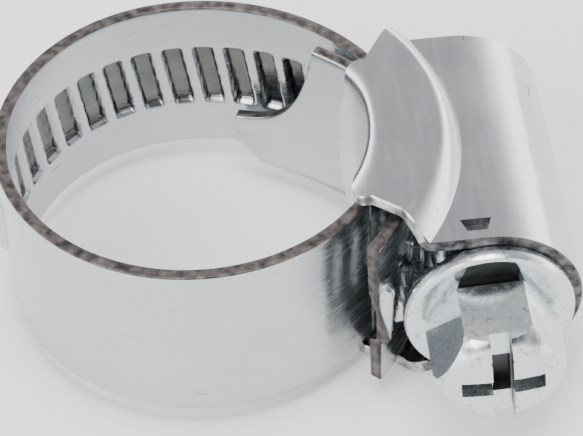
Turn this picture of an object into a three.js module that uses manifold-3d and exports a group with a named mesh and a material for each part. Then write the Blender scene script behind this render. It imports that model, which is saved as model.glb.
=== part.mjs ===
import * as THREE from 'three';
import { mergeVertices } from 'three/addons/utils/BufferGeometryUtils.js';
import Module from 'manifold-3d';

// Worm-drive hose clamp. Millimetres. +Z is the hose axis, the screw runs along Y with its
// head towards -Y, and the housing is on the +X side of the loop.

// ---- driving sizes ----
const BAND_W = 9;            // band width
const BAND_T = 0.6;          // band thickness
const TAIL_R = 10.3;         // mid-line radius of the threaded end that slides in the housing
const TAIL_C = [-0.64, -0.9];
const TAIL_IN = 0.23;        // the free end stops this far inside the barrel's mouth
const HEAD_R = 7.73;         // mid-line radius of the fixed end under the worm
const STRIP_GAP = 0.46;      // between the threaded end and the fixed end
const PITCH = 1.65;          // thread pitch
const RIB_H = 0.5;           // how far a rib stands out of the band
const RIB_Z = 1.9;           // half length of a rib
const RIB_FOOT = 0.44;       // half width of a rib at its foot
const RIB_PHASE = 0.406;     // place of the ribs along the band, in rib steps
const STRIP_END = 192;       // the ribs stop here, degrees
const MESH_DEPTH = 0.4;      // how deep the worm reaches between the ribs
const WORM_R = 2.2;
const ROOT_R = 1.62;
const BARREL_R = 4.4;        // outside of the screw barrel
const BARREL_BACK = 2.8;     // the barrel's sides reach this far from the axis towards the loop
const SHEET = 0.6;           // housing sheet
const BARREL_Y0 = -7.75;     // open end of the barrel
const BARREL_Y1 = 5.5;       // closed end of the barrel
const SIDE_GAP = 0.2;        // between the band's edge and the housing
const WING_WALL = 0.8;       // side wall of the wings
const SADDLE_A = [-26, 23];  // ends of the saddle under the fixed end, degrees
const HEX_AF = 5.3;          // width across flats
const HEX_H = 4.37;          // height of the hex over the collar
const COLLAR_R = 3.97;
const COLLAR_T = 0.7;
const COLLAR_GAP = 0.1;     // between the collar and the barrel
const WORM_INSET = [2.75, 1.3];   // the worm starts and stops this far inside the barrel
const SLOT_W = 0.95;
const GAP = 0.24;            // cut between two lengths of the band
const ANG = [95, 200, 322];  // where the loop's arcs meet, degrees
const LINKS = 5;             // lengths of band on each of the loop's two arcs
const TONGUE_A = 26;         // the tongue leaves the fixed end's arc here
const TONGUE = [[3, 21], [20, 18]];   // radius and sweep of its root bend and of its blade

// ---- sizes that follow ----
const HEAD_C = [TAIL_C[0] + TAIL_R - BAND_T - STRIP_GAP - HEAD_R, 0];
const AXIS_X = TAIL_C[0] + TAIL_R + BAND_T / 2 + RIB_H + WORM_R - MESH_DEPTH;   // screw axis
const WING_Z = BAND_W / 2 + SIDE_GAP + WING_WALL;                               // outer face
const TAIL_A0 = Math.asin((BARREL_Y0 + TAIL_IN - TAIL_C[1]) / TAIL_R) * 180 / Math.PI;
const COLLAR_Y = [BARREL_Y0 - COLLAR_GAP - COLLAR_T, BARREL_Y0 - COLLAR_GAP];
const HEAD_Y = COLLAR_Y[0] - HEX_H;
const WORM_Y = [BARREL_Y0 + WORM_INSET[0], BARREL_Y1 - WORM_INSET[1]];

// ---- small helpers ----
const rad = (d) => d * Math.PI / 180;
const at = (c, r, d) => [c[0] + r * Math.cos(rad(d)), c[1] + r * Math.sin(rad(d))];
const lerp = (a, b, t) => a + (b - a) * t;
const wasm = await Module();
wasm.setup();
const { Manifold, Mesh } = wasm;

function solid(geometry) {
  const g = geometry.clone();
  for (const name of ['normal', 'uv', 'uv1', 'color']) g.deleteAttribute(name);
  const m = mergeVertices(g, 1e-4);
  const p = m.attributes.position;
  const tris = [];
  let volume = 0;
  const v = [0, 1, 2].map(() => new THREE.Vector3());
  for (let i = 0; i < m.index.count; i += 3) {
    const [a, b, c] = [0, 1, 2].map((k) => m.index.getX(i + k));
    if (a === b || b === c || a === c) continue;
    [a, b, c].forEach((q, k) => v[k].fromBufferAttribute(p, q));
    volume += v[0].dot(v[1].cross(v[2]));
    tris.push([a, b, c]);
  }
  if (volume < 0) tris.forEach((t) => t.reverse());
  return new Manifold(new Mesh({
    numProp: 3,
    vertProperties: new Float32Array(p.array),
    triVerts: new Uint32Array(tris.flat()),
  }));
}

function surface(body) {
  const m = body.getMesh();
  const flat = new THREE.BufferGeometry();
  const p = new Float32Array(m.vertProperties.length / m.numProp * 3);
  for (let i = 0; i < p.length / 3; i++) {
    for (let k = 0; k < 3; k++) p[3 * i + k] = m.vertProperties[m.numProp * i + k];
  }
  flat.setAttribute('position', new THREE.BufferAttribute(p, 3));
  flat.setIndex(new THREE.BufferAttribute(new Uint32Array(m.triVerts), 1));
  const g = flat.toNonIndexed();
  g.computeVertexNormals();
  return g;
}

const join = (list) => list.reduce((a, b) => a.add(b));

// A body that stands on closed outlines, one for each height; all have the same point count.
function loft(stack) {
  const area = THREE.ShapeUtils.area(stack[0].pts.map((p) => ({ x: p[0], y: p[1] })));
  const levels = area < 0 ? stack.map((l) => ({ z: l.z, pts: [...l.pts].reverse() })) : stack;
  const n = levels[0].pts.length;
  const pos = [];
  for (const l of levels) for (const p of l.pts) pos.push(p[0], p[1], l.z);
  const index = [];
  for (let k = 0; k + 1 < levels.length; k++) {
    for (let i = 0; i < n; i++) {
      const a = k * n + i;
      const b = k * n + (i + 1) % n;
      index.push(a, b, b + n, a, b + n, a + n);
    }
  }
  const cap = (l) => THREE.ShapeUtils.triangulateShape(l.pts.map((p) => new THREE.Vector2(p[0], p[1])), []);
  for (const t of cap(levels[0])) index.push(t[2], t[1], t[0]);
  const top = (levels.length - 1) * n;
  for (const t of cap(levels[levels.length - 1])) index.push(top + t[0], top + t[1], top + t[2]);
  const g = new THREE.BufferGeometry();
  g.setAttribute('position', new THREE.Float32BufferAttribute(pos, 3));
  g.setIndex(index);
  return g;
}

const prism = (pts, z0, z1) => loft([{ z: z0, pts }, { z: z1, pts }]);

function arcPoints(c, r, a0, a1, n) {
  const out = [];
  for (let i = 0; i <= n; i++) out.push(at(c, r, lerp(a0, a1, i / n)));
  return out;
}

function sectorPrism(c, r0, r1, a0, a1, halfZ, n) {
  return prism([...arcPoints(c, r1, a0, a1, n), ...arcPoints(c, r0, a1, a0, n)], -halfZ, halfZ);
}

function box(x0, x1, y0, y1, z0, z1) {
  const g = new THREE.BoxGeometry(x1 - x0, y1 - y0, z1 - z0);
  g.translate((x0 + x1) / 2, (y0 + y1) / 2, (z0 + z1) / 2);
  return g;
}

// Turned about the screw axis; profile points are [radius, y] and start and end on the axis.
function turned(profile, segments) {
  const g = new THREE.LatheGeometry(profile.map((p) => new THREE.Vector2(p[0], p[1])), segments);
  g.translate(AXIS_X, 0, 0);
  return g;
}

// ---- band path ----
// Two arcs close the loop between the threaded end's arc and the fixed end's arc.
function loopArcs() {
  const n = (d) => [Math.cos(rad(d)), Math.sin(rad(d))];
  const [n1, n2, n3] = ANG.map(n);
  const b = [0, 1].map((k) => HEAD_C[k] - TAIL_C[k] - TAIL_R * n1[k] + HEAD_R * n3[k]);
  const p = [0, 1].map((k) => n2[k] - n1[k]);
  const q = [0, 1].map((k) => n3[k] - n2[k]);
  const det = p[0] * q[1] - p[1] * q[0];
  const r2 = (b[0] * q[1] - b[1] * q[0]) / det;
  const r3 = (p[0] * b[1] - p[1] * b[0]) / det;
  const c2 = [0, 1].map((k) => TAIL_C[k] + (TAIL_R - r2) * n1[k]);
  const c3 = [0, 1].map((k) => c2[k] + (r2 - r3) * n2[k]);
  return [{ c: c2, r: r2 }, { c: c3, r: r3 }];
}
const [BACK, FRONT] = loopArcs();

const RIB_STEP = PITCH / (TAIL_R + BAND_T / 2 + RIB_H / 2) * TAIL_R;   // along the mid-line
const LEAN = PITCH / (2 * Math.PI * 1.95);                            // rib slant, along per z

// Rib centres of one arc, in degrees. Distance along the band is counted from angle 0 of the
// threaded end; RIB_PHASE keeps the ribs clear of the cuts between the band's lengths.
function ribAngles(arc, a0, a1, s0) {
  const out = [];
  const inset = (RIB_FOOT + 0.01) / arc.r * 180 / Math.PI;
  for (let k = Math.ceil(s0 / RIB_STEP - RIB_PHASE); ; k++) {
    const s = (k + RIB_PHASE) * RIB_STEP - s0;
    const a = a0 + s / arc.r * 180 / Math.PI;
    if (a > a1 || a > STRIP_END) break;
    if (a - inset > a0 && a + inset < a1) out.push(a);
  }
  return out;
}

// A length of band: a grid over the arc, with a rib pressed outwards at each rib angle.
function bandLength(arc, a0, a1, ribs) {
  const deg = (mm) => mm / arc.r * 180 / Math.PI;
  const cols = [{ a: a0, h: 0, w: 0 }];
  for (const r of ribs) {
    cols.push({ a: r - deg(RIB_FOOT), h: 0, w: 1 }, { a: r - deg(0.22), h: 1, w: 1 });
    cols.push({ a: r + deg(0.22), h: 1, w: 1 }, { a: r + deg(RIB_FOOT), h: 0, w: 1 });
  }
  cols.push({ a: a1, h: 0, w: 0 });
  const fine = [cols[0]];
  for (let i = 1; i < cols.length; i++) {
    const p = cols[i - 1];
    const c = cols[i];
    const extra = Math.floor((c.a - p.a) / 8);
    for (let k = 1; k <= extra; k++) {
      const t = k / (extra + 1);
      if (p.h === 0 && c.h === 0) fine.push({ a: lerp(p.a, c.a, t), h: 0, w: lerp(p.w, c.w, t) });
    }
    fine.push(c);
  }
  const W = BAND_W / 2;
  const rows = ribs.length
    ? [[-W, 0], [-RIB_Z, 0], [-RIB_Z + 0.4, 1], [0, 1], [RIB_Z - 0.4, 1], [RIB_Z, 0], [W, 0]]
    : [[-W, 0], [W, 0]];
  const outer = [];
  const inner = [];
  for (const [z, on] of rows) {
    const lean = LEAN * Math.max(-RIB_Z, Math.min(RIB_Z, z));
    for (const f of fine) {
      const h = f.h * on;
      const a = f.a + deg(lean) * f.w;
      outer.push([...at(arc.c, arc.r + BAND_T / 2 + RIB_H * h, a), z]);
      inner.push([...at(arc.c, arc.r - BAND_T / 2 + (RIB_H - 0.1) * h, a), z]);
    }
  }
  return skin(outer, inner, fine.length, rows.length);
}

// Closes two grids of the same size into one body.
function skin(outer, inner, nc, nr) {
  const pos = [...outer, ...inner].flat();
  const half = outer.length;
  const index = [];
  for (let j = 0; j + 1 < nr; j++) {
    for (let i = 0; i + 1 < nc; i++) {
      const a = j * nc + i;
      index.push(a, a + 1, a + nc + 1, a, a + nc + 1, a + nc);
      index.push(half + a, half + a + nc + 1, half + a + 1, half + a, half + a + nc, half + a + nc + 1);
    }
  }
  const wall = (a, b) => index.push(a, half + b, b, a, half + a, half + b);
  for (let i = 0; i + 1 < nc; i++) {
    wall(i, i + 1);
    wall((nr - 1) * nc + i + 1, (nr - 1) * nc + i);
  }
  for (let j = 0; j + 1 < nr; j++) {
    wall((j + 1) * nc, j * nc);
    wall(j * nc + nc - 1, (j + 1) * nc + nc - 1);
  }
  const g = new THREE.BufferGeometry();
  g.setAttribute('position', new THREE.Float32BufferAttribute(pos, 3));
  g.setIndex(index);
  return g;
}

const TAIL = { c: TAIL_C, r: TAIL_R };
const HEAD = { c: HEAD_C, r: HEAD_R };
const cut = (arc) => GAP / 2 / arc.r * 180 / Math.PI;

// Distance along the band from angle 0 of the threaded end to an angle on a later arc.
function along(a) {
  if (a <= ANG[0]) return TAIL_R * rad(a);
  const s = TAIL_R * rad(ANG[0]);
  return a <= ANG[1] ? s + BACK.r * rad(a - ANG[0]) : s + BACK.r * rad(ANG[1] - ANG[0]);
}

function bandTail() {
  const a1 = ANG[0] - cut(TAIL);
  return bandLength(TAIL, TAIL_A0, a1, ribAngles(TAIL, TAIL_A0, a1, TAIL_R * rad(TAIL_A0)));
}

function bandLink(arc, a0, a1) {
  const b0 = a0 + cut(arc);
  const b1 = a1 - cut(arc);
  const ribs = arc === BACK ? ribAngles(arc, b0, b1, along(b0)) : [];
  return bandLength(arc, b0, b1, ribs);
}

const bandHead = () => bandLength(HEAD, ANG[2] - 360 + cut(HEAD) + 1.6, TONGUE_A - cut(HEAD), []);

// A point on the tongue, a part t of the way along it and off millimetres outside its mid-line.
function onTongue(t, off) {
  const [[r1, w1], [r2, w2]] = TONGUE;
  const lengths = [r1 * rad(w1), r2 * rad(w2)];
  const s = GAP / 2 + (lengths[0] + lengths[1] - GAP / 2) * t;
  const c1 = at(at(HEAD_C, HEAD_R, TONGUE_A), -r1, TONGUE_A);
  if (s < lengths[0]) return at(c1, r1 + off, TONGUE_A + s / r1 * 180 / Math.PI);
  const bend = TONGUE_A + w1;
  const c2 = at(at(c1, r1, bend), -r2, bend);
  return at(c2, r2 + off, bend + (s - lengths[0]) / r2 * 180 / Math.PI);
}

// The tongue's free end is scooped on its upper side and runs out to a point below.
function bandTongue() {
  const W = BAND_W / 2;
  const scoop = (t) => (t < 0.388 ? W : W - 6.25 * (1 - Math.exp(-(t - 0.388) / 0.165)));
  const keel = (t) => -W + (t < 0.79 ? 0 : 1.15 * THREE.MathUtils.smoothstep(t, 0.79, 1));
  const outer = [];
  const inner = [];
  const n = 42;
  const m = 6;
  for (let j = 0; j <= m; j++) {
    for (let i = 0; i <= n; i++) {
      const t = i / n;
      const z = lerp(keel(t), scoop(t), j / m);
      outer.push([...onTongue(t, BAND_T / 2), z]);
      inner.push([...onTongue(t, -BAND_T / 2), z]);
    }
  }
  return skin(outer, inner, n + 1, m + 1);
}

// ---- housing ----
const SADDLE_GAP = 0.1;      // between the saddle and the fixed end
const SADDLE_R = HEAD_R - BAND_T / 2 - SADDLE_GAP - SHEET;

// Plan outline of the wings; k blends the loop-side edge from the flat (0) to the saddle (1),
// and q blends the far edge from the end of the flat (0) to the foot of the step (1).
function wingOutline(k, q) {
  const pts = [];
  const wing = [AXIS_X - 20.29, 0.154];          // centre of the wing's flat edge
  const back = [AXIS_X - lerp(10.83, 12.79, q), lerp(-0.27, -0.52, q)];
  const backR = lerp(9.48, 12.45, q);
  pts.push([AXIS_X - 5.66, BARREL_Y0 + 2.65]);
  const n = 14;
  for (let i = 0; i <= n; i++) {
    const t = i / n;
    const w = at(wing, 15.8, lerp(-17.9, 8.6, t));
    const s = at(HEAD_C, SADDLE_R, lerp(...SADDLE_A, t));
    pts.push([lerp(w[0], s[0], k), lerp(w[1], s[1], k)]);
  }
  const tip = [AXIS_X - lerp(3.21, 1.96, q), BARREL_Y1 - lerp(0.35, 0.1, q)];
  pts.push([AXIS_X - 4.34, BARREL_Y1 - 2.24], tip);
  const a0 = Math.atan2(BARREL_Y1 - back[1], tip[0] + 0.1 - back[0]) * 180 / Math.PI;
  const end = [AXIS_X - lerp(3.66, 2.71, q), BARREL_Y0 + lerp(1.25, 0, q)];
  const a1 = Math.atan2(end[1] - back[1], end[0] - back[0]) * 180 / Math.PI;
  for (let i = 0; i <= 20; i++) pts.push(at(back, backR, lerp(a0, a1, i / 20)));
  return pts;
}

function wingBlock() {
  const steps = [
    [0, 0, 0], [0.12, 0.3, 0.25], [0.3, 0.62, 0.45], [0.55, 0.9, 0.7], [0.85, 1, 0.9], [1, 1, 1],
  ];
  const up = steps.map(([d, k, s]) => ({ z: WING_Z - d, pts: wingOutline(k, s) }));
  const down = up.map((l) => ({ z: -l.z, pts: l.pts }));
  return loft([...down, ...up.reverse()]);
}

function housing() {
  const bore = BARREL_R - SHEET;
  const outer = join([
    solid(turned([[0, BARREL_Y0], [BARREL_R, BARREL_Y0], [BARREL_R, BARREL_Y1 - 0.4],
      [BARREL_R - 0.4, BARREL_Y1], [0, BARREL_Y1]], 64)).intersect(solid(box(AXIS_X - BARREL_BACK,
      AXIS_X + 2 * BARREL_R, BARREL_Y0 - 1, BARREL_Y1 + 1, -2 * BARREL_R, 2 * BARREL_R))),
    solid(box(AXIS_X - BARREL_BACK, AXIS_X, BARREL_Y0, BARREL_Y1, -BARREL_R, BARREL_R)),
    solid(wingBlock()),
  ]);
  const inside = HEAD_R - BAND_T / 2 - SADDLE_GAP;
  const tailOut = TAIL_R + BAND_T / 2 + 0.15;
  const wide = sectorPrism(TAIL_C, 1, tailOut, -80, 80, BAND_W / 2 + SIDE_GAP, 40);
  const tall = sectorPrism(TAIL_C, 1, tailOut + RIB_H + 0.1, -80, 80, RIB_Z + 0.35, 40);
  const room = join([solid(wide), solid(tall)])
    .subtract(solid(sectorPrism(HEAD_C, 0.5, inside, -85, 85, WING_Z + 1, 40)));
  const hollow = join([
    solid(turned([[0, BARREL_Y0 - 1], [bore, BARREL_Y0 - 1], [bore, BARREL_Y1 - SHEET],
      [0, BARREL_Y1 - SHEET]], 64)),
    solid(box(AXIS_X - BARREL_BACK - 0.4, AXIS_X, BARREL_Y0 - 1, BARREL_Y1 - SHEET, -bore, bore)),
    solid(turned([[0, 0], [ROOT_R + 0.1, 0], [ROOT_R + 0.1, BARREL_Y1 + 1], [0, BARREL_Y1 + 1]], 32)),
    room,
  ]);
  let body = outer.subtract(hollow);
  for (const side of [1, -1]) {
    const dent = [[-0.75, 0.3], [0.75, 0.3], [0.45, -0.35], [-0.45, -0.35]]
      .map((p) => [AXIS_X - 0.45 + p[0], BARREL_Y0 + 0.9 + p[1]]);
    body = body.subtract(solid(prism(dent, side > 0 ? BARREL_R - 0.42 : -BARREL_R - 1,
      side > 0 ? BARREL_R + 1 : -BARREL_R + 0.42)));
  }
  const parts = body.decompose().sort((a, b) => b.volume() - a.volume());
  return surface(parts[0]);
}

// ---- screw ----
function thread() {
  const turns = (WORM_Y[1] - WORM_Y[0]) / PITCH;
  const n = Math.round(turns * 26);
  const phase = TAIL_C[1] + PITCH * (RIB_PHASE + 0.75);   // a crest stands between two ribs
  const start = (WORM_Y[0] - phase) / PITCH;
  const section = [[ROOT_R - 0.25, -0.44], [ROOT_R, -0.42], [WORM_R, -0.15], [WORM_R, 0.15],
    [ROOT_R, 0.42], [ROOT_R - 0.25, 0.44]];
  const pos = [];
  for (let i = 0; i <= n; i++) {
    const t = start + turns * i / n;
    const a = 2 * Math.PI * t;
    for (const [r, dy] of section) {
      pos.push(AXIS_X + r * Math.sin(a), phase + PITCH * t + dy, r * Math.cos(a));
    }
  }
  const m = section.length;
  const index = [];
  for (let i = 0; i < n; i++) {
    for (let j = 0; j < m; j++) {
      const a = i * m + j;
      const b = i * m + (j + 1) % m;
      index.push(a, b + m, b, a, a + m, b + m);
    }
  }
  for (let j = 1; j + 1 < m; j++) {
    index.push(0, j, j + 1);
    index.push(n * m, n * m + j + 1, n * m + j);
  }
  const g = new THREE.BufferGeometry();
  g.setAttribute('position', new THREE.Float32BufferAttribute(pos, 3));
  g.setIndex(index);
  return g;
}

function wormScrew() {
  const corner = HEX_AF / Math.sqrt(3);
  const hex = new THREE.CylinderGeometry(corner, corner, HEX_H + 1, 6);
  hex.rotateY(Math.PI / 6);
  hex.translate(AXIS_X, HEAD_Y + (HEX_H + 1) / 2, 0);
  const flat = HEX_AF / 2;
  const crown = turned([[0, HEAD_Y], [flat * 0.6, HEAD_Y + 0.07], [flat * 0.96, HEAD_Y + 0.3],
    [corner + 0.02, HEAD_Y + 1.0], [corner + 0.02, COLLAR_Y[0] + 0.2], [0, COLLAR_Y[0] + 0.2]], 48);
  let head = solid(hex).intersect(solid(crown));
  head = head.subtract(solid(box(AXIS_X - SLOT_W / 2, AXIS_X + SLOT_W / 2, HEAD_Y - 1, HEAD_Y + 0.95,
    -HEX_AF, HEX_AF)));
  head = head.subtract(solid(box(AXIS_X - 1.75, AXIS_X + 1.75, HEAD_Y - 1, HEAD_Y + 0.8, -0.33, 0.33)));
  head = head.subtract(solid(box(AXIS_X - 0.4, AXIS_X + 0.4, HEAD_Y, HEAD_Y + 1.5, -1.25, 1.25)));
  const [c0, c1] = COLLAR_Y;
  const stem = turned([[0, c0], [COLLAR_R - 0.2, c0], [COLLAR_R, c0 + 0.2], [COLLAR_R, c1 - 0.15],
    [COLLAR_R - 0.15, c1], [ROOT_R, c1], [ROOT_R, BARREL_Y1 - 0.1], [ROOT_R - 0.2, BARREL_Y1 + 0.1],
    [0, BARREL_Y1 + 0.1]], 48);
  const body = join([head, solid(stem), solid(thread())]);
  const g = surface(body);
  g.translate(-AXIS_X, 0, 0);
  return g;
}

// ---- assembly ----
const zinc = (rough, tone = 0xc9ced1) => new THREE.MeshStandardMaterial({
  color: tone, roughness: rough, metalness: 1,
});

function add(group, name, geometry, material) {
  let g = geometry;
  if (g.index) {
    g = g.toNonIndexed();
    g.computeVertexNormals();
  }
  const mesh = new THREE.Mesh(g, material);
  mesh.name = name;
  group.add(mesh);
  return mesh;
}

const group = new THREE.Group();
group.name = 'hose_clamp';
add(group, 'housing', housing(), zinc(0.28));
const screw = add(group, 'worm_screw', wormScrew(), zinc(0.35));
screw.position.x = AXIS_X;
add(group, 'band_head', bandHead(), zinc(0.38));
add(group, 'band_tongue', bandTongue(), zinc(0.38));
add(group, 'band_tail', bandTail(), zinc(0.38));
for (let i = 0; i < 2 * LINKS; i++) {
  const back = i < LINKS;
  const arc = back ? BACK : FRONT;
  const a0 = back ? ANG[0] : ANG[1];
  const a1 = back ? ANG[1] : ANG[2];
  const k = i % LINKS;
  add(group, `band_link_${String(i + 1).padStart(2, '0')}`,
    bandLink(arc, lerp(a0, a1, k / LINKS), lerp(a0, a1, (k + 1) / LINKS)), zinc(0.38));
}
export default group;
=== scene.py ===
import math
import bpy
import bmesh
import numpy as np
from mathutils import Vector, Matrix


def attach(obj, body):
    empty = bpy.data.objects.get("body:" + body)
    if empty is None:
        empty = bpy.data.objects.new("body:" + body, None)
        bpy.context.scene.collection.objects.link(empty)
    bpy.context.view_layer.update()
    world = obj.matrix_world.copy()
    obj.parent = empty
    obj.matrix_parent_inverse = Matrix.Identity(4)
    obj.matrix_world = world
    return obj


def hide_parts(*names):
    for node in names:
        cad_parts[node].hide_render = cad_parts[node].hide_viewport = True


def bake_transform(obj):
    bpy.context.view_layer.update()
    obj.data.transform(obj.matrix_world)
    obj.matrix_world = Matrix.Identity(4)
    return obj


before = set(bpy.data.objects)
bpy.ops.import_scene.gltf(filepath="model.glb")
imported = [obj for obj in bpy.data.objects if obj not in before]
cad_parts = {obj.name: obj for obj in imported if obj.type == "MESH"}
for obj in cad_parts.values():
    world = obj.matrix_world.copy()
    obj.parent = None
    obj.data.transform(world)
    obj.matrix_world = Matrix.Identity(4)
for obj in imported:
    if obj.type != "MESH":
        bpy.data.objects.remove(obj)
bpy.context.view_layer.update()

MM = 0.001

# ---- sizes, in millimetres and degrees, as in the CAD ----
BAND_W, BAND_T = 9.0, 0.6
TAIL_C, TAIL_R = (-0.64, -0.90), 10.3          # centre and radius of the threaded end's arc
HEAD_C, HEAD_R = (0.87, 0.0), 7.73             # and of the fixed end's arc
ANG = (95.0, 200.0, 322.0)                     # where the loop's four arcs meet
LINKS = 5                                      # band lengths on each side of the middle joint
TAIL_A0 = -42.0                                # where the threaded end stops
STRIP_END = 192.0                              # where the strip of ribs stops
PITCH, RIB_H, RIB_Z, RIB_PHASE = 1.65, 0.5, 1.9, 0.406
TONGUE_A = 26.0                                # where the tongue leaves the fixed end's arc
TONGUE = ((3.0, 21.0), (20.0, 18.0))           # radius and angle of its two bends
AXIS_X, BARREL_R, SHEET, WING_Z = 12.26, 4.4, 0.6, 5.5
BARREL_Y0, BARREL_Y1, BARREL_BACK = -7.75, 5.5, 2.8
HEX_AF, COLLAR_R, COLLAR_Y, HEAD_Y = 5.3, 3.97, (-8.68, -7.85), -12.92
WORM_R, ROOT_R, WORM_Y = 2.2, 1.62, (-5.0, 4.2)
SLOT_W = 0.95
SCREW_TURN = -2.5

# ---- sizes of the rendered shapes only ----
GROOVE_IN = 0.40                               # depth of a rib's groove on the inner face
EDGE_Z = (4.42, 4.48, 4.5)                     # band's flat face, chamfer and edge
FLAT_ARC = (1.43, -0.27, 9.48)                 # x, y and radius of the edge where the wing's flat ends
CREASE_ARC = (-0.53, -0.52, 12.45)             # of the foot of the step beside it
WING_ARC = (-8.03, 0.154, 15.8)                # and of the wing's edge on the loop's side
WING_ROUND = 0.55                              # rounding of that edge
WING_DROP = 1.1                                # height it takes to turn down into the saddle
SADDLE_Y = 2.9                                 # half length of the saddle
NEAR = (9.55, 8.46, -6.4)                      # x of two corners of the wing's near end, y of the second
FAR = (7.92, 3.26, 1.686)                      # a point of the wing's far end and its slope
DENT = (AXIS_X - 0.42, -6.85, 0.42)            # x, y and depth of the dimple
SLOT_ARM = (1.9, 0.44, 0.8)                    # half length, half width and depth of the cross slot
SLOT_PIT = (0.42, 1.25, 1.7)                   # the same for the pit in the middle
SLOT_DEEP = 0.95                               # depth of the long slot
NECK = 0.35                                    # gap between the hex and the collar
EASE = 0.07                                    # rounding of cut edges


def unit(d):
    return np.array([math.cos(math.radians(d)), math.sin(math.radians(d))])


# The two arcs that close the loop between the tail's arc and the head's arc.
def loop_arcs():
    n1, n2, n3 = (unit(a) for a in ANG)
    c1, c4 = np.array(TAIL_C), np.array(HEAD_C)
    m = np.column_stack([n2 - n1, n3 - n2])
    r2, r3 = np.linalg.solve(m, (c4 - c1) - TAIL_R * n1 + HEAD_R * n3)
    c2 = c1 + (TAIL_R - r2) * n1
    return (c2, r2), (c2 + (r2 - r3) * n2, r3)


BACK, FRONT = loop_arcs()
STEP = PITCH / (TAIL_R + BAND_T / 2 + RIB_H / 2) * TAIL_R
LEAN = PITCH / (2 * math.pi * 1.95)
S1 = TAIL_R * math.radians(ANG[0])
S2 = S1 + BACK[1] * math.radians(ANG[1] - ANG[0])
S3 = S2 + FRONT[1] * math.radians(ANG[2] - ANG[1])
S_TAIL = TAIL_R * math.radians(TAIL_A0)
S_STRIP = S1 + BACK[1] * math.radians(STRIP_END - ANG[0])


def on_band(s):
    """Mid-line point and outward normal at distance s along the band."""
    if s <= S1:
        c, r, a = TAIL_C, TAIL_R, math.degrees(s / TAIL_R)
    elif s <= S2:
        c, r, a = BACK[0], BACK[1], ANG[0] + math.degrees((s - S1) / BACK[1])
    else:
        c, r, a = FRONT[0], FRONT[1], ANG[1] + math.degrees((s - S2) / FRONT[1])
    n = unit(a)
    return np.array(c) + r * n, n


def smooth(a, b, x):
    t = np.clip((x - a) / (b - a), 0.0, 1.0)
    return t * t * (3 - 2 * t)


# ---- mesh building ----
def make(name, verts, faces, material_ids=None, mats=(), normals=None, smooth_on=True, scale=MM):
    me = bpy.data.meshes.new(name)
    me.from_pydata((np.asarray(verts, float) * scale).tolist(), [], faces)
    me.validate()
    if material_ids is not None:
        me.polygons.foreach_set("material_index", np.asarray(material_ids, np.int32))
    me.polygons.foreach_set("use_smooth", [smooth_on] * len(me.polygons))
    for m in mats:
        me.materials.append(m)
    if normals is not None:
        me.normals_split_custom_set_from_vertices([tuple(n) for n in normals])
    me.update()
    ob = bpy.data.objects.new(name, me)
    bpy.context.scene.collection.objects.link(ob)
    return ob


def ring_faces(cols, rows, closed_rows=True, closed_cols=False):
    """Quads of a grid stored column by column: index = column * rows + row."""
    faces = []
    for i in range(cols if closed_cols else cols - 1):
        for j in range(rows if closed_rows else rows - 1):
            a, b = i * rows + j, i * rows + (j + 1) % rows
            c, d = ((i + 1) % cols) * rows + (j + 1) % rows, ((i + 1) % cols) * rows + j
            faces.append((a, b, c, d))
    return faces


def grid_normals(verts, faces):
    v = np.asarray(verts, float)
    n = np.zeros_like(v)
    f = np.asarray(faces)
    fn = np.cross(v[f[:, 2]] - v[f[:, 0]], v[f[:, 3]] - v[f[:, 1]])
    for k in range(4):
        np.add.at(n, f[:, k], fn)
    return n / np.maximum(np.linalg.norm(n, axis=1, keepdims=True), 1e-12)


# ---- materials ----
def node_tools(mat):
    nt = mat.node_tree
    new = nt.nodes.new
    link = nt.links.new
    return nt, new, link


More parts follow.
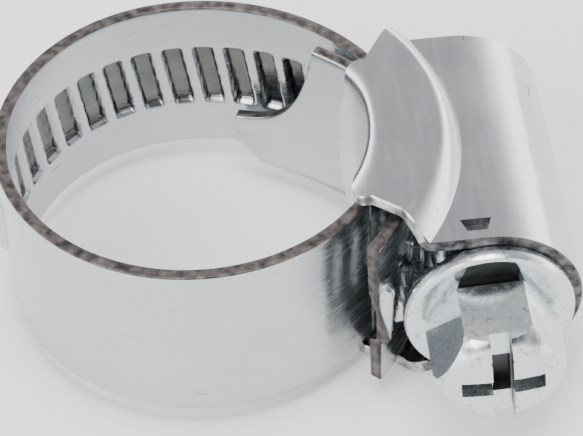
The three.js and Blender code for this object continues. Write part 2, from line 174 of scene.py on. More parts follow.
def steel(name, base, rough, grain=(400, 400, 400), bump=0.05, spots=0.0, vary=0.06, scratch=None, shade_spots=(),
          groove_shade=None):
    """Zinc-plated steel: cloudy tone, a fine grain, small dark specks and fine scratches, with optional
    painted shade spots and painted shade in grooves.
    """
    mat = bpy.data.materials.new(name)
    mat.use_nodes = True
    nt, new, link = node_tools(mat)
    b = nt.nodes["Principled BSDF"]
    b.inputs["Metallic"].default_value = 1.0
    co = new("ShaderNodeTexCoord")
    big = new("ShaderNodeTexNoise")
    big.inputs["Scale"].default_value = 380
    big.inputs["Detail"].default_value = 5
    link(co.outputs["Object"], big.inputs["Vector"])
    mp = new("ShaderNodeMapping")
    mp.inputs["Scale"].default_value = grain
    link(co.outputs["Object"], mp.inputs["Vector"])
    fine = new("ShaderNodeTexNoise")
    fine.inputs["Scale"].default_value = 10
    fine.inputs["Detail"].default_value = 6
    link(mp.outputs["Vector"], fine.inputs["Vector"])
    ramp = new("ShaderNodeValToRGB")
    lo = [c * (1 - vary) * t for c, t in zip(base, (0.98, 1.0, 1.02))]
    ramp.color_ramp.elements[0].position = 0.3
    ramp.color_ramp.elements[0].color = (*lo, 1)
    ramp.color_ramp.elements[1].position = 0.7
    ramp.color_ramp.elements[1].color = (*base, 1)
    link(big.outputs["Fac"], ramp.inputs["Fac"])
    colour = ramp.outputs["Color"]
    if spots:
        sp = new("ShaderNodeTexNoise")
        sp.inputs["Scale"].default_value = 3200
        sp.inputs["Detail"].default_value = 3
        link(co.outputs["Object"], sp.inputs["Vector"])
        sr = new("ShaderNodeValToRGB")
        sr.color_ramp.elements[0].position = 0.60
        sr.color_ramp.elements[0].color = (1, 1, 1, 1)
        sr.color_ramp.elements[1].position = 0.70
        d = 1 - spots
        sr.color_ramp.elements[1].color = (d, d, d * 1.02, 1)
        link(sp.outputs["Fac"], sr.inputs["Fac"])
        mx = new("ShaderNodeMix")
        mx.data_type = "RGBA"
        mx.blend_type = "MULTIPLY"
        mx.inputs["Factor"].default_value = 1.0
        link(colour, mx.inputs["A"])
        link(sr.outputs["Color"], mx.inputs["B"])
        colour = mx.outputs["Result"]
    if scratch:
        angle, stretch, edge, tone = scratch
        sm = new("ShaderNodeMapping")
        sm.inputs["Rotation"].default_value = angle
        sm.inputs["Scale"].default_value = stretch
        link(co.outputs["Object"], sm.inputs["Vector"])
        sn = new("ShaderNodeTexNoise")
        sn.inputs["Scale"].default_value = 10
        sn.inputs["Detail"].default_value = 2
        link(sm.outputs["Vector"], sn.inputs["Vector"])
        sc = new("ShaderNodeValToRGB")
        sc.color_ramp.elements[0].position = edge
        sc.color_ramp.elements[0].color = (1, 1, 1, 1)
        sc.color_ramp.elements[1].position = edge + 0.035
        sc.color_ramp.elements[1].color = (tone, tone, tone, 1)
        link(sn.outputs["Fac"], sc.inputs["Fac"])
        mx = new("ShaderNodeMix")
        mx.data_type = "RGBA"
        mx.blend_type = "MULTIPLY"
        mx.inputs["Factor"].default_value = 1.0
        link(colour, mx.inputs["A"])
        link(sc.outputs["Color"], mx.inputs["B"])
        colour = mx.outputs["Result"]
    # painted shade: soft dark spots round the given points
    for x, y, z, r in shade_spots:
        ds = new("ShaderNodeVectorMath")
        ds.operation = "DISTANCE"
        ds.inputs[1].default_value = (x * MM, y * MM, z * MM)
        link(co.outputs["Object"], ds.inputs[0])
        ad = new("ShaderNodeMath")
        ad.operation = "MULTIPLY_ADD"
        ad.inputs[1].default_value = 0.0011
        link(big.outputs["Fac"], ad.inputs[0])
        link(ds.outputs["Value"], ad.inputs[2])
        fall = new("ShaderNodeMapRange")
        fall.inputs["From Min"].default_value = (r * 0.35 + 0.55) * MM
        fall.inputs["From Max"].default_value = (r + 0.55) * MM
        fall.inputs["To Min"].default_value = 0.16
        link(ad.outputs["Value"], fall.inputs["Value"])
        dk = new("ShaderNodeVectorMath")
        dk.operation = "SCALE"
        link(colour, dk.inputs[0])
        link(fall.outputs["Result"], dk.inputs["Scale"])
        colour = dk.outputs["Vector"]
    # painted shade: the colour is darkened where the band's groove mask marks a rib's recess on the inner
    # face
    if groove_shade:
        at = new("ShaderNodeAttribute")
        at.attribute_name = "groove_shade"
        gf = new("ShaderNodeMapRange")
        gf.inputs["From Min"].default_value = 0.50
        gf.inputs["From Max"].default_value = 0.60
        link(at.outputs["Fac"], gf.inputs["Value"])
        gr = new("ShaderNodeValToRGB")
        gr.color_ramp.elements[0].position = 0.3
        gr.color_ramp.elements[0].color = (*[c * 0.6 for c in groove_shade], 1)
        gr.color_ramp.elements[1].position = 0.7
        gr.color_ramp.elements[1].color = (*groove_shade, 1)
        link(big.outputs["Fac"], gr.inputs["Fac"])
        mx = new("ShaderNodeMix")
        mx.data_type = "RGBA"
        link(gf.outputs["Result"], mx.inputs["Factor"])
        link(colour, mx.inputs["A"])
        link(gr.outputs["Color"], mx.inputs["B"])
        colour = mx.outputs["Result"]
    link(colour, b.inputs["Base Color"])
    rr = new("ShaderNodeMapRange")
    rr.inputs["To Min"].default_value = rough * 0.75
    rr.inputs["To Max"].default_value = rough * 1.3
    rr.inputs["From Min"].default_value = 0.3
    rr.inputs["From Max"].default_value = 0.7
    link(fine.outputs["Fac"], rr.inputs["Value"])
    link(rr.outputs["Result"], b.inputs["Roughness"])
    bp = new("ShaderNodeBump")
    bp.inputs["Strength"].default_value = bump
    bp.inputs["Distance"].default_value = 0.00005
    link(fine.outputs["Fac"], bp.inputs["Height"])
    link(bp.outputs["Normal"], b.inputs["Normal"])
    return mat


def cut_edge(name, dark, light, rough=0.5):
    """Bare sheared edge: brown-grey steel streaked with bright metal."""
    mat = bpy.data.materials.new(name)
    mat.use_nodes = True
    nt, new, link = node_tools(mat)
    b = nt.nodes["Principled BSDF"]
    b.inputs["Metallic"].default_value = 0.85
    co = new("ShaderNodeTexCoord")
    n = new("ShaderNodeTexNoise")
    n.inputs["Scale"].default_value = 2200
    n.inputs["Detail"].default_value = 6
    link(co.outputs["Object"], n.inputs["Vector"])
    r = new("ShaderNodeValToRGB")
    r.color_ramp.elements[0].position = 0.35
    r.color_ramp.elements[0].color = (*dark, 1)
    r.color_ramp.elements[1].position = 0.72
    r.color_ramp.elements[1].color = (*light, 1)
    link(n.outputs["Fac"], r.inputs["Fac"])
    link(r.outputs["Color"], b.inputs["Base Color"])
    b.inputs["Roughness"].default_value = rough
    bp = new("ShaderNodeBump")
    bp.inputs["Strength"].default_value = 0.4
    bp.inputs["Distance"].default_value = 0.00004
    link(n.outputs["Fac"], bp.inputs["Height"])
    link(bp.outputs["Normal"], b.inputs["Normal"])
    return mat


# the band's rib grooves on the inner face get painted shade
BAND_MAT = steel("band_zinc_steel", (0.56, 0.58, 0.595), 0.24, grain=(60, 60, 500), bump=0.05,
                 scratch=((0.6, 0.3, 0.2), (40, 40, 420), 0.72, 0.45), groove_shade=(0.18, 0.185, 0.175))
EDGE_MAT = cut_edge("sheared_edge", (0.040, 0.035, 0.034), (0.19, 0.168, 0.160))
# painted shade: a darker copy of the cut edge, for the rim round the barrel's mouth beside the collar
MOUTH_EDGE_SHADE = cut_edge("barrel_mouth_edge_shade", (0.03, 0.03, 0.031), (0.22, 0.22, 0.225))
HOUSE_MAT = steel("housing_zinc_steel", (0.66, 0.665, 0.69), 0.20, grain=(300, 40, 300), bump=0.07, vary=0.16,
                  scratch=((0, 0, 0.5), (330, 24, 200), 0.705, 0.30))
HOUSE_EDGE = cut_edge("housing_cut_edge", (0.20, 0.195, 0.19), (0.85, 0.86, 0.84), 0.35)
# painted shade: two dark spots on the hex head, one each side of the long slot
SCREW_MAT = steel("screw_zinc_steel", (0.66, 0.70, 0.715), 0.24, bump=0.06, spots=0.45,
                  shade_spots=((AXIS_X - 1.35, HEAD_Y + 0.75, 2.0, 0.62),
                           (AXIS_X + 1.35, HEAD_Y + 0.75, 2.1, 0.62)))
# painted dark reflection on the hex's top flat by the collar and on the collar's face above the hex
NECK_REFLECTION_MAT = steel("screw_neck_dark_reflection", (0.085, 0.088, 0.09), 0.38, bump=0.25, vary=0.4)
# painted shade on the hex head's left flat and on the long slot's walls
FLANK_SHADE_MAT = steel("screw_flank_shade", (0.19, 0.21, 0.22), 0.3, bump=0.1, vary=0.3)
# painted shade in the housing's dimple
DENT_SHADE_MAT = steel("dent_shade", (0.33, 0.335, 0.34), 0.3, bump=0.1, vary=0.3)
# painted shade in the cross slot's arms and the pit in the middle
SLOT_SHADE_MAT = steel("slot_shade", (0.13, 0.13, 0.125), 0.45, bump=0.2, vary=0.3)


# ---- band ----
def rib_heights(s, z):
    """(outward rise, inner recess) at distance s along and height z, as parts of full height, and the recess
    part, which marks where painted shade darkens the groove.
    """
    k = np.round(s / STEP - LEAN * z / STEP - RIB_PHASE)
    u = s - LEAN * z - (k + RIB_PHASE) * STEP
    centre = (k + RIB_PHASE) * STEP
    live = (centre < S_STRIP)
    ends_out = 1 - smooth(RIB_Z - 0.45, RIB_Z, abs(z))
    ends_in = 1 - smooth(RIB_Z - 0.22, RIB_Z, abs(z))
    out = (1 - smooth(0.17, 0.46, abs(u))) * ends_out
    inn = (1 - smooth(0.36, 0.56, abs(u))) * ends_in
    return (RIB_H * out if live else 0.0), (GROOVE_IN * inn if live else 0.0), (inn if live else 0.0)


def band_profile():
    """Rows round the section: (side, z, chamfer inset, 1 on the cut edge).

    Side 1 is the outer face and -1 the inner one.
    """
    face, cham, edge = EDGE_Z
    plain_zs = [face, 4.25, 3.6, 2.9, 2.3]
    zs = plain_zs + list(np.linspace(2.0, -2.0, 33)) + [-z for z in reversed(plain_zs)]
    rows = [(1, z, 0.0, 0) for z in zs]
    rows += [(1, -cham, 0.04, 1), (1, -edge, 0.09, 1), (-1, -edge, 0.09, 1), (-1, -cham, 0.04, 1)]
    rows += [(-1, z, 0.0, 0) for z in reversed(zs)]
    rows += [(-1, cham, 0.04, 1), (-1, edge, 0.09, 1), (1, edge, 0.09, 1), (1, cham, 0.04, 1)]
    return rows


def band_stations():
    """Distances along the band where its mesh has a column, and those where its pieces meet."""
    s = [S_TAIL, S_TAIL + 0.05]
    while s[-1] < S_STRIP + 0.6:
        s.append(s[-1] + 0.12)
    while s[-1] < S3 - 0.3:
        s.append(s[-1] + 0.25)
    marks = []
    for k in range(LINKS):
        marks.append(S1 + (S2 - S1) * (k + 0.5) / LINKS)
        marks.append(S2 + (S3 - S2) * (k + 0.5) / LINKS)
    marks.append(S3)
    s = np.array(s)
    for m in marks:
        i = int(np.abs(s - m).argmin())
        if abs(s[i] - m) < 0.07:
            s[i] = m
        else:
            s = np.sort(np.append(s, m))
    return s, sorted(marks)


def build_band():
    rows = band_profile()
    nr = len(rows)
    stations, marks = band_stations()
    verts = []
    shade = []
    for s in stations:
        p, n = on_band(s)
        for side, z, inset, _ in rows:
            out, inn, g = rib_heights(s, z)
            off = side * (BAND_T / 2 - inset) + (out if side > 0 else inn)
            verts.append((p[0] + n[0] * off, p[1] + n[1] * off, z))
            # painted shade mask: the groove's part, on the inner face only
            shade.append(g if side < 0 else 0.0)
    verts = np.array(verts)
    shade = np.array(shade)
    faces = ring_faces(len(stations), nr)
    faces = [f[::-1] for f in faces]
    normals = grid_normals(verts, faces)
    return verts, normals, shade, rows, stations, marks


def band_piece(name, data, i0, i1, cap0=False, cap1=False):
    """The band from column i0 to column i1, as one piece."""
    verts, normals, shade, rows = data[:4]
    nr = len(rows)
    v = verts[i0 * nr:(i1 + 1) * nr]
    nm = normals[i0 * nr:(i1 + 1) * nr]
    sh = shade[i0 * nr:(i1 + 1) * nr]
    cols = i1 - i0 + 1
    fs = [f[::-1] for f in ring_faces(cols, nr)]
    ids = []
    for f in fs:
        js = [q % nr for q in f]
        edge = any(rows[j][3] for j in js)
        ids.append(1 if edge else 0)
    if cap0:
        fs += end_cap(0, nr, False)
        ids += [1] * (len(fs) - len(ids))
    if cap1:
        fs += end_cap((cols - 1) * nr, nr, True)
        ids += [1] * (len(fs) - len(ids))
    ob = make(name, v, fs, ids, (BAND_MAT, EDGE_MAT), None if (cap0 or cap1) else nm)
    # mask of the rib grooves, where painted shade darkens the band
    groove_shade = ob.data.attributes.new("groove_shade", "FLOAT", "POINT")
    groove_shade.data.foreach_set("value", sh.astype(np.float32))
    return ob


def end_cap(base, nr, flip):
    """Closes a cut end with quads between the outer and the inner rows."""
    fs = []
    n_face = (nr - 8) // 2
    for j in range(n_face - 1):
        fs.append((base + j, base + j + 1, base + nr - 6 - j, base + nr - 5 - j))
    i = n_face
    fs.append((base + i - 1, base + i, base + i + 3, base + i + 4))
    fs.append((base + i, base + i + 1, base + i + 2, base + i + 3))
    j = nr - 4
    fs.append((base + 0, base + j - 1, base + j, base + j + 3))
    fs.append((base + j, base + j + 1, base + j + 2, base + j + 3))
    return [f if flip else f[::-1] for f in fs]


data = build_band()
stations, marks = data[4], data[5]
idx = [int(np.abs(stations - m).argmin()) for m in marks]
bodies = ["tail", "tail", "link_02"] + ["link_03"] * 4 + ["link_%02d" % k for k in (7, 8, 9, 10)]

first = band_piece("band_tail_strip", data, 0, idx[0], cap0=True)
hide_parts("band_tail")
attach(first, "tail")
for k in range(2 * LINKS - 1):
    piece = band_piece("band_strip_%02d" % (k + 1), data, idx[k], idx[k + 1])
    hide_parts("band_link_%02d" % (k + 1))
    a, b = bodies[k + 1], bodies[k + 2]
    if a == b:
        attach(piece, a)
    else:
        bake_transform(piece)
last = band_piece("band_strip_%02d" % (2 * LINKS), data, idx[2 * LINKS - 1], len(stations) - 1,
                  cap1=True)
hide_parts("band_link_%02d" % (2 * LINKS))
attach(last, "link_%02d" % (2 * LINKS))


# ---- fixed end and tongue ----
def tongue_edges(t):
    """Lowest and highest z of the fixed end, a part t of the way along the tongue."""
    w = BAND_W / 2
    top = w if t < 0.388 else w - 6.25 * (1 - math.exp(-(t - 0.388) / 0.165))
    return -w + 1.15 * float(smooth(0.79, 1.0, t)), top


def on_tongue(t):
    """Mid-line point and outward direction, a part t of the way along the tongue."""
    (r1, w1), (r2, w2) = TONGUE
    l1, l2 = r1 * math.radians(w1), r2 * math.radians(w2)
    s = (l1 + l2) * t
    c1 = np.array(HEAD_C) + (HEAD_R - r1) * unit(TONGUE_A)
    if s < l1:
        n = unit(TONGUE_A + math.degrees(s / r1))
        return c1 + r1 * n, n
    c2 = c1 + (r1 - r2) * unit(TONGUE_A + w1)
    n = unit(TONGUE_A + w1 + math.degrees((s - l1) / r2))
    return c2 + r2 * n, n


def build_head():
    line = []
    for a in np.linspace(ANG[2] - 360 + 0.6, TONGUE_A, 48)[:-1]:
        n = unit(a)
        line.append((np.array(HEAD_C) + HEAD_R * n, n, -1.0))
    for t0, t1, count in ((0, 0.38, 30), (0.388, 0.56, 36), (0.57, 1, 44)):
        line += [(*on_tongue(t), t) for t in np.linspace(t0, t1, count)]
    m = 20
    rows = []
    c = EASE
    for side in (1, -1):
        ts = np.linspace(0, 1, m) if side > 0 else np.linspace(1, 0, m)
        rows += [(side, t) for t in ts]
    verts = []
    for p, n, part in line:
        bot, top = tongue_edges(part)
        for side, t in rows:
            z = bot + c + (top - bot - 2 * c) * t
            swell = 0.05 * math.exp(-((t - 0.55) / 0.25) ** 2) * float(smooth(0.1, 0.4, part))
            q = p + n * (side * BAND_T / 2 + swell)
            verts.append((q[0], q[1], z))
        for t, z in ((0, bot), (1, top)):
            for side in (1, -1):
                q = p + n * side * (BAND_T / 2 - c)
                verts.append((q[0], q[1], z))
    nr0 = 2 * m + 4
    # order round the section: outer rows up, top edge, inner rows down, bottom edge
    perm = list(range(m)) + [2 * m + 2, 2 * m + 3] + list(range(m, 2 * m)) + [2 * m + 1, 2 * m]
    nc = len(line)
    v = np.array(verts).reshape(nc, nr0, 3)[:, perm]
    faces = ring_faces(nc, nr0)
    ids = []
    edge_rows = {m, m + 1, 2 * m + 2, 2 * m + 3}
    for f in faces:
        js = [q % nr0 for q in f]
        ids.append(1 if sum(j in edge_rows for j in js) == 4 else 0)
    faces.append(tuple(range(nr0))[::-1])
    ids.append(1)
    faces.append(tuple((nc - 1) * nr0 + j for j in range(nr0)))
    ids.append(1)
    return make("fixed_end_strip", v.reshape(-1, 3), faces, ids, (BAND_MAT, EDGE_MAT))


head = build_head()
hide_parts("band_head", "band_tongue")
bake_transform(head)


# ---- housing: one sheet, swept along the barrel, with its outline cut by the end lines ----
def arc_x(arc, y):
    """x of a plan arc (centre x, centre y, radius) at y."""
    cx, cy, r = arc
    return cx + math.sqrt(max(0.0, r ** 2 - (y - cy) ** 2))


def saddle_x(y):
    """Outer face of the saddle that lies inside the fixed end."""
    r = HEAD_R - BAND_T / 2 - 0.1 - SHEET
    return HEAD_C[0] + math.sqrt(max(0.5, r * r - y * y))


def near_y(x):
    """The sheet's end on the head's side: square on the barrel, slanted on the wing."""
    x1, x2, y2 = NEAR
    if x >= x1:
        return BARREL_Y0
    return BARREL_Y0 + (x1 - x) * 1.24 if x > x2 else y2 + (x2 - x) * 0.772


def far_y(x):
    """The sheet's other end: a slanted line that rounds into the barrel's end."""
    x0, y0, slope = FAR
    line = y0 + (x - x0) * slope
    k = 0.25
    return max(2.7, -k * math.log(math.exp(-min(line, 9.0) / k) + math.exp(-BARREL_Y1 / k)))


def bezier(p, t):
    q = 1 - t
    return tuple(q ** 3 * a + 3 * q * q * t * b + 3 * q * t * t * c + t ** 3 * d
                 for a, b, c, d in zip(*p))


def section_rows():
    """Parts of half a section: A quarter round, B flat top, C step, D wing, E bend, F saddle."""
    rows = [("A", t) for t in np.linspace(0, 1, 30)]
    for kind, count in (("B", 9), ("C", 15), ("D", 10), ("E", 17), ("F", 9)):
        rows += [(kind, t) for t in np.linspace(0, 1, count)[1:]]
    return rows


def section_point(kind, t, y):
    """(x, z) a part t of the way along one part of the section at y."""
    xc, xf, xw, xs = arc_x(CREASE_ARC, y), arc_x(FLAT_ARC, y), arc_x(WING_ARC, y), saddle_x(y)
    if kind == "A":
        a = math.radians(90 * t)
        return AXIS_X + BARREL_R * math.cos(a), BARREL_R * math.sin(a)
    if kind == "B":
        return AXIS_X + (xc - AXIS_X) * t, BARREL_R
    if kind == "C":
        return xc + (xf - xc) * t, BARREL_R + (WING_Z - BARREL_R) * (1 - (1 - t) ** 1.9)
    if kind == "D":
        return xf + (xw + WING_ROUND - xf) * t, WING_Z
    if kind == "E":
        return bezier(((xw + WING_ROUND, WING_Z), (xw + 0.05, WING_Z), (xs, WING_Z - 0.25),
                       (xs, WING_Z - WING_DROP)), t)
    return xs, (WING_Z - WING_DROP) * (1 - t)


def section_limits(kind, t, y):
    """Lowest and highest y of the sheet at one point of the section."""
    x, _ = section_point(kind, t, y)
    if kind in "ABCD":
        return near_y(x), far_y(x)
    x0 = arc_x(WING_ARC, y) + WING_ROUND
    n0, f0 = near_y(x0), far_y(x0)
    if kind == "E":
        w = float(smooth(0.15, 1.0, t))
        return n0 + (-SADDLE_Y - n0) * w, f0 + (SADDLE_Y - f0) * w
    return -SADDLE_Y, SADDLE_Y + 0.5 * float(smooth(0, 0.6, t))


def build_housing():
    rows = section_rows()
    vs = [0.0, 0.006, 0.014] + list(np.linspace(0.03, 0.97, 76)) + [0.986, 0.994, 1.0]
    half = []
    for kind, t in rows:
        line = []
        for v in vs:
            y = -7.0 + 12 * v
            for _ in range(60):
                lo, hi = section_limits(kind, t, y)
                y += 0.5 * (lo + (hi - lo) * v - y)
            x, z = section_point(kind, t, y)
            line.append((x, y, z))
        half.append(line)
    half = np.array(half)                       # rows x v x 3
    low = half[1:-1][::-1].copy()
    low[:, :, 2] *= -1
    ring = np.concatenate([half, low])          # closed round the section
    nr, nv = ring.shape[:2]
    outer = ring.transpose(1, 0, 2).reshape(-1, 3)
    faces = ring_faces(nv, nr)
    n = grid_normals(outer, faces)
    flip = np.einsum("ij,ij->", n[:nr], outer[:nr] - np.array([AXIS_X, BARREL_Y0, 0])) < 0
    if flip:
        n = -n
    inner = outer - n * SHEET
    # the inner wall keeps its end lines in the same planes
    ch = EASE
    o3, i3, n3 = outer.reshape(nv, nr, 3), inner.reshape(nv, nr, 3), n.reshape(nv, nr, 3)
    along0 = o3[1] - o3[0]
    along1 = o3[-1] - o3[-2]
    along0 /= np.linalg.norm(along0, axis=1, keepdims=True)
    along1 /= np.linalg.norm(along1, axis=1, keepdims=True)
    rim0a, rim0b = o3[0] - n3[0] * ch - along0 * ch, o3[0] - n3[0] * (SHEET - ch) - along0 * ch
    rim1a, rim1b = o3[-1] - n3[-1] * ch + along1 * ch, o3[-1] - n3[-1] * (SHEET - ch) + along1 * ch
    rings = list(o3) + [rim1a, rim1b] + list(i3[::-1]) + [rim0b, rim0a]
    allv = np.array(rings).reshape(-1, 3)
    total = len(rings)
    fs = ring_faces(total, nr, closed_cols=True)
    ids = []
    for f in fs:
        cols = {q // nr for q in f}
        rim = cols <= {nv - 1, nv, nv + 1, nv + 2} or cols <= {total - 1, total - 2, total - 3, 0}
        ids.append(1 if rim else 0)
    if flip:
        fs = [f[::-1] for f in fs]
    return make("housing_sheet", allv, fs, ids, (HOUSE_MAT, HOUSE_EDGE), scale=1.0)


def apply_all(ob, scale=MM):
    dg = bpy.context.evaluated_depsgraph_get()
    me = bpy.data.meshes.new_from_object(ob.evaluated_get(dg))
    ob.modifiers.clear()
    ob.data = me
    me.transform(Matrix.Scale(scale, 4))
    me.update()
    return ob


def cutter(name, verts, faces):
    ob = make(name, verts, faces, scale=1.0, smooth_on=False)
    bm = bmesh.new()
    bm.from_mesh(ob.data)
    bmesh.ops.recalc_face_normals(bm, faces=bm.faces)
    bm.to_mesh(ob.data)
    bm.free()
    return ob


def hexa(name, lo, hi):
    """Box from two lists of four (x, y) corners at two z heights."""
    v = [(*p, lo[1]) for p in lo[0]] + [(*p, hi[1]) for p in hi[0]]
    f = [(0, 1, 2, 3), (7, 6, 5, 4), (0, 4, 5, 1), (1, 5, 6, 2), (2, 6, 7, 3), (3, 7, 4, 0)]
    return cutter(name, v, f)


def boolean(ob, tool, op="DIFFERENCE"):
    m = ob.modifiers.new("b", "BOOLEAN")
    m.operation = op
    m.object = tool
    m.solver = "EXACT"
    return m


def box_corners(x0, x1, y0, y1):
    return [(x0, y0), (x1, y0), (x1, y1), (x0, y1)]


house = build_housing()
tools = []
for sgn in (1, -1):
    cx, cy, depth = DENT
    deep = [(cx - 0.42, cy - 0.10), (cx + 0.42, cy - 0.10), (cx + 0.62, cy + 0.30), (cx - 0.62, cy + 0.30)]
    wide = [(cx - 0.45, cy - 0.42), (cx + 0.45, cy - 0.42), (cx + 0.72, cy + 0.32), (cx - 0.72, cy + 0.32)]
    t = hexa("dent_cut", (deep, sgn * (BARREL_R - depth)), (wide, sgn * (BARREL_R + 0.02)))
    tools.append(t)
    boolean(house, t)
apply_all(house)
house.data.materials.append(DENT_SHADE_MAT)
house.data.materials.append(MOUTH_EDGE_SHADE)
for f in house.data.polygons:
    x, y, z = f.center / MM
    # painted shade on the dimple's faces
    if abs(x - DENT[0]) < 0.8 and abs(y - DENT[1]) < 0.5 and BARREL_R - 0.5 < abs(z) < BARREL_R - 0.04:
        f.material_index = 2
    # painted shade: the cut edge is dark round the barrel's mouth
    if f.material_index == 1 and y < BARREL_Y0 + 0.3 and x > AXIS_X - 2.9:
        f.material_index = 3
for t in tools:
    bpy.data.objects.remove(t)
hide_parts("housing")
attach(house, "housing")


def lathe(name, profile, mats, segs=96, ids=None, ring=True):
    """Turned about the screw axis. profile is (radius, y); radius 0 ends close the body."""
    verts, faces, mids = [], [], []
    n = len(profile)
    for r, y in profile:
        for k in range(segs):
            a = 2 * math.pi * k / segs
            verts.append((AXIS_X + r * math.sin(a), y, r * math.cos(a)))
    count = n if ring else n - 1
    for i in range(count):
        j = (i + 1) % n
        for k in range(segs):
            q = (k + 1) % segs
            faces.append((i * segs + k, i * segs + q, j * segs + q, j * segs + k))
            mids.append(ids[i] if ids else 0)
    ob = make(name, verts, faces, mids, mats, scale=1.0)
    bm = bmesh.new()
    bm.from_mesh(ob.data)
    bmesh.ops.remove_doubles(bm, verts=bm.verts, dist=1e-5)
    bmesh.ops.recalc_face_normals(bm, faces=bm.faces)
    bm.to_mesh(ob.data)
    bm.free()
    return ob


end = lathe("housing_end_wall", [(r, BARREL_Y1 - d) for r, d in (
    (1.72, 0.55), (4.0, 0.55), (4.25, 0.4), (4.3, 0.2), (4.22, 0.05), (4.0, 0), (1.9, 0), (1.75, 0.04),
    (1.72, 0.1))], (HOUSE_MAT,))
# the disc is trimmed on the loop's side, where the threaded end runs past it
wall = box_corners(AXIS_X - 8, AXIS_X - BARREL_BACK, BARREL_Y1 - 2, BARREL_Y1 + 1)
trim = hexa("wall_trim", (wall, -6), (wall, 6))
boolean(end, trim)
apply_all(end)
bpy.data.objects.remove(trim)
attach(end, "housing")


# ---- screw ----
def build_screw():
    corner = HEX_AF / math.sqrt(3)
    flat = HEX_AF / 2
    neck_y = COLLAR_Y[0] - NECK
    hexv = []
    # the hex narrows to a short neck where it meets the collar
    for y, k in ((HEAD_Y - 0.5, 1.0), (neck_y, 1.0), (neck_y + 0.12, 0.94), (COLLAR_Y[0] + 0.3, 0.86)):
        for i in range(6):
            a = math.radians(60 * i)
            hexv.append((AXIS_X + k * corner * math.cos(a), y, k * corner * math.sin(a)))
    hexf = ring_faces(4, 6) + [tuple(range(6))[::-1], tuple(range(18, 24))]
    head = cutter("screw_head", hexv, hexf)
    crown = lathe("crown_cut", [(0, HEAD_Y), (flat * 0.35, HEAD_Y + 0.02), (flat * 0.66, HEAD_Y + 0.10),
                                (flat * 0.86, HEAD_Y + 0.22), (flat * 0.97, HEAD_Y + 0.42),
                                (corner * 0.955, HEAD_Y + 0.80), (corner + 0.03, HEAD_Y + 1.35),
                                (corner + 0.03, COLLAR_Y[0] + 0.25), (0, COLLAR_Y[0] + 0.25)],
                  (SCREW_MAT,), 96, ring=False)
    slots = []
    for nm, half_x, half_z, y0, y1 in (
            ("slot_a", SLOT_W / 2, 4, HEAD_Y - 1, HEAD_Y + SLOT_DEEP),
            ("slot_b", SLOT_ARM[0], SLOT_ARM[1], HEAD_Y - 1, HEAD_Y + SLOT_ARM[2]),
            ("slot_c", SLOT_PIT[0], SLOT_PIT[1], HEAD_Y, HEAD_Y + SLOT_PIT[2])):
        box = box_corners(AXIS_X - half_x, AXIS_X + half_x, y0, y1)
        slots.append(hexa(nm, (box, -half_z), (box, half_z)))
    boolean(head, crown, "INTERSECT")
    for s in slots:
        boolean(head, s)
    bv = head.modifiers.new("bevel", "BEVEL")
    bv.width = EASE
    bv.segments = 3
    bv.limit_method = "ANGLE"
    bv.angle_limit = math.radians(28)
    bv.use_clamp_overlap = True
    head.data.materials.clear()
    head.data.materials.append(SCREW_MAT)
    apply_all(head, 1.0)
    for m in (SLOT_SHADE_MAT, FLANK_SHADE_MAT, NECK_REFLECTION_MAT):
        head.data.materials.append(m)
    # painted shade: the left flat is dark below a slanting line
    line_at = Vector((AXIS_X - corner, neck_y, 0))
    line_n = Vector((-0.8, -3.07, -1.4)).normalized()
    bm = bmesh.new()
    bm.from_mesh(head.data)
    left = [f for f in bm.faces if f.normal.x < -0.8 and f.normal.z > 0.3]
    geo = list({g for f in left for g in (*f.verts, *f.edges)}) + left
    bmesh.ops.bisect_plane(bm, geom=geo, plane_co=line_at, plane_no=line_n)
    bm.to_mesh(head.data)
    bm.free()
    for f in head.data.polygons:
        x, y, z = f.center
        x -= AXIS_X
        if f.normal.x < -0.8 and f.normal.z > 0.3:
            f.material_index = 2 if (f.center - line_at).dot(line_n) > 0 else 0
        # painted dark reflection on the top flat next to the collar
        if y > neck_y + 0.02 and z > 1.6 and abs(x) < 1.62 and f.normal.z > 0.6:
            f.material_index = 3
        # painted shade on the long slot's walls
        if abs(abs(x) - SLOT_W / 2) < 0.03:
            f.material_index = 2
            continue
        if abs(y - HEAD_Y - SLOT_DEEP) < 0.03:
            continue
        # painted shade in the cross slot's arms and the pit
        in_arms = abs(z) < 0.47 and abs(x) < 1.95 and y > HEAD_Y + 0.16
        in_pit = y > HEAD_Y + 0.98 and abs(x) < 0.5 and abs(z) < 1.3
        if (in_arms or in_pit) and y < HEAD_Y + 1.75:
            f.material_index = 1
    for o in [crown] + slots:
        bpy.data.objects.remove(o)
    c0, c1 = COLLAR_Y
    stem = lathe("screw_collar", [
        (0, c0), (flat * 0.75, c0), (flat + 0.02, c0), (flat + 0.25, c0), (flat + 0.5, c0),
        (COLLAR_R - 0.42, c0), (COLLAR_R - 0.25, c0 + 0.02),
        (COLLAR_R - 0.10, c0 + 0.10), (COLLAR_R - 0.02, c0 + 0.24), (COLLAR_R, c0 + 0.40),
        (COLLAR_R, c1 - 0.15), (COLLAR_R - 0.05, c1 - 0.04), (COLLAR_R - 0.15, c1), (ROOT_R + 0.1, c1),
        (ROOT_R, c1 + 0.1), (ROOT_R, BARREL_Y1 - 0.1), (ROOT_R - 0.2, BARREL_Y1 + 0.1), (0, BARREL_Y1 + 0.1)],
        (SCREW_MAT,), 96, ring=False)
    stem.data.materials.append(NECK_REFLECTION_MAT)
    # a painted dark reflection: a dark trapezoid on the collar's face above the hex
    bm = bmesh.new()
    bm.from_mesh(stem.data)
    for side in (1, -1):
        face = [f for f in bm.faces if f.calc_center_median().y < c0 + 0.05]
        geo = list({g for f in face for g in (*f.verts, *f.edges)}) + face
        bmesh.ops.bisect_plane(bm, geom=geo, plane_co=(AXIS_X + side * 1.55, c0, 2.3),
                               plane_no=(side, 0, 0.34))
    bm.to_mesh(stem.data)
    bm.free()
    for f in stem.data.polygons:
        x, y, z = f.center
        if y < c0 + 0.03 and z > 1.8 and abs(x - AXIS_X) < 1.55 - (z - 2.3) * 0.34:
            f.material_index = 1
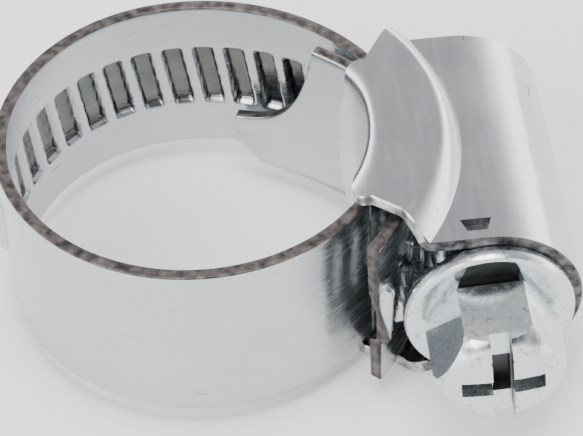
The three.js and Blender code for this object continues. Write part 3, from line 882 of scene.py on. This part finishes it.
    # worm thread
    phase = TAIL_C[1] + PITCH * (RIB_PHASE + 0.75)
    turns = (WORM_Y[1] - WORM_Y[0]) / PITCH
    start = (WORM_Y[0] - phase) / PITCH
    sec = [(ROOT_R - 0.3, -0.46), (ROOT_R, -0.42), (ROOT_R + 0.1, -0.38), (WORM_R - 0.06, -0.18),
           (WORM_R, -0.11), (WORM_R, 0.11), (WORM_R - 0.06, 0.18), (ROOT_R + 0.1, 0.38), (ROOT_R, 0.42),
           (ROOT_R - 0.3, 0.46)]
    n = int(turns * 48)
    verts = []
    for i in range(n + 1):
        t = start + turns * i / n
        a = 2 * math.pi * t
        for r, dy in sec:
            verts.append((AXIS_X + r * math.sin(a), phase + PITCH * t + dy, r * math.cos(a)))
    fs = ring_faces(n + 1, len(sec))
    fs += [tuple(range(len(sec)))[::-1], tuple(n * len(sec) + j for j in range(len(sec)))]
    worm = cutter("worm_thread", verts, fs)
    worm.data.polygons.foreach_set("use_smooth", [True] * len(worm.data.polygons))
    worm.data.materials.append(SCREW_MAT)
    return head, stem, worm


def autosmooth(ob, angle=30):
    me = ob.data
    me.polygons.foreach_set("use_smooth", [True] * len(me.polygons))
    me.set_sharp_from_angle(angle=math.radians(angle))
    me.update()


parts = build_screw()
turn = Matrix.Translation((AXIS_X, 0, 0)) @ Matrix.Rotation(math.radians(SCREW_TURN), 4, "Y") @ \
    Matrix.Translation((-AXIS_X, 0, 0))
for ob, nm in zip(parts, ("screw_hex_head", "screw_collar_and_shaft", "screw_worm_thread")):
    if nm == "screw_hex_head":
        ob.data.transform(turn)
    ob.data.transform(Matrix.Scale(MM, 4))
    ob.name = nm
    autosmooth(ob, 32)
    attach(ob, "screw")
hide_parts("worm_screw")
autosmooth(house, 40)
autosmooth(end, 40)


# ---- floor, light, camera ----
def plain(name, colour, rough=0.6):
    m = bpy.data.materials.new(name)
    m.use_nodes = True
    b = m.node_tree.nodes["Principled BSDF"]
    b.inputs["Base Color"].default_value = (*colour, 1)
    b.inputs["Roughness"].default_value = rough
    return m


floor = make("floor", [(-600, -600, 0), (600, -600, 0), (600, 600, 0), (-600, 600, 0)], [(0, 1, 2, 3)],
             None, (plain("floor_white", (0.97, 0.97, 0.97)),), smooth_on=False)
floor.location.z = -WING_Z * MM - 0.0002


def area(name, loc, size, power, target=(0.004, 0, 0), colour=(1, 1, 1)):
    l = bpy.data.lights.new(name, "AREA")
    l.shape = "RECTANGLE"
    l.size, l.size_y = size
    l.energy = power
    l.color = colour
    o = bpy.data.objects.new(name, l)
    o.location = loc
    o.rotation_euler = (Vector(target) - Vector(loc)).to_track_quat("-Z", "Y").to_euler()
    bpy.context.scene.collection.objects.link(o)
    return o


world = bpy.data.worlds.new("studio")
bpy.context.scene.world = world
world.use_nodes = True
wn, wl = world.node_tree.nodes, world.node_tree.links
bg = wn["Background"]
tc = wn.new("ShaderNodeTexCoord")
sp = wn.new("ShaderNodeSeparateXYZ")
wl.new(tc.outputs["Generated"], sp.inputs["Vector"])
rp = wn.new("ShaderNodeValToRGB")
e = rp.color_ramp.elements
e[0].position, e[0].color = 0.0, (1, 1, 1, 1)
e[1].position, e[1].color = 1.0, (0.35, 0.35, 0.35, 1)
for pos, c in ((0.50, 1.0), (0.63, 0.95), (0.72, 0.38), (0.80, 0.19), (0.88, 0.14), (0.95, 0.22)):
    x = rp.color_ramp.elements.new(pos)
    x.color = (c, c, c * 1.01, 1)
mr = wn.new("ShaderNodeMapRange")
mr.inputs["From Min"].default_value = -1
mr.inputs["From Max"].default_value = 1
wl.new(sp.outputs["Z"], mr.inputs["Value"])
wl.new(mr.outputs["Result"], rp.inputs["Fac"])
# the side of the studio behind the photographer is dark
dt = wn.new("ShaderNodeVectorMath")
dt.operation = "DOT_PRODUCT"
dt.inputs[1].default_value = (0.0, -0.68, 0.73)
wl.new(tc.outputs["Generated"], dt.inputs[0])
dm = wn.new("ShaderNodeMapRange")
dm.inputs["From Min"].default_value = 0.55
dm.inputs["From Max"].default_value = 0.9
dm.inputs["To Min"].default_value = 1.0
dm.inputs["To Max"].default_value = 0.1
wl.new(dt.outputs["Value"], dm.inputs["Value"])
sc = wn.new("ShaderNodeVectorMath")
sc.operation = "SCALE"
wl.new(rp.outputs["Color"], sc.inputs[0])
wl.new(dm.outputs["Result"], sc.inputs["Scale"])
wl.new(sc.outputs["Vector"], bg.inputs["Color"])
bg.inputs["Strength"].default_value = 4.0

area("key", (-0.25, -0.25, 0.35), (0.3, 0.3), 2.0)
area("top", (0.02, -0.05, 0.50), (0.25, 0.25), 2.0)

back = Vector((-0.04099, -0.68289, 0.72937)).normalized()
right = Vector((0.99820, -0.05991, 0)).normalized()
up = back.cross(right).normalized()
roll = math.radians(-3.1968)
R2 = right * math.cos(roll) + up * math.sin(roll)
U2 = -right * math.sin(roll) + up * math.cos(roll)
cam_data = bpy.data.cameras.new("camera")
cam_data.sensor_fit = "HORIZONTAL"
cam_data.sensor_width = 36
cam_data.lens = 3000 / 583 * 36
cam_data.clip_start = 0.01
cam_data.clip_end = 10
cam = bpy.data.objects.new("camera", cam_data)
bpy.context.scene.collection.objects.link(cam)
where = (R2 * 3.9483 + U2 * -0.5225 + back * 142.729) * MM
m = Matrix((R2, U2, back)).transposed().to_4x4()
m.translation = where
cam.matrix_world = m
bpy.context.scene.camera = cam

bpy.context.view_layer.update()
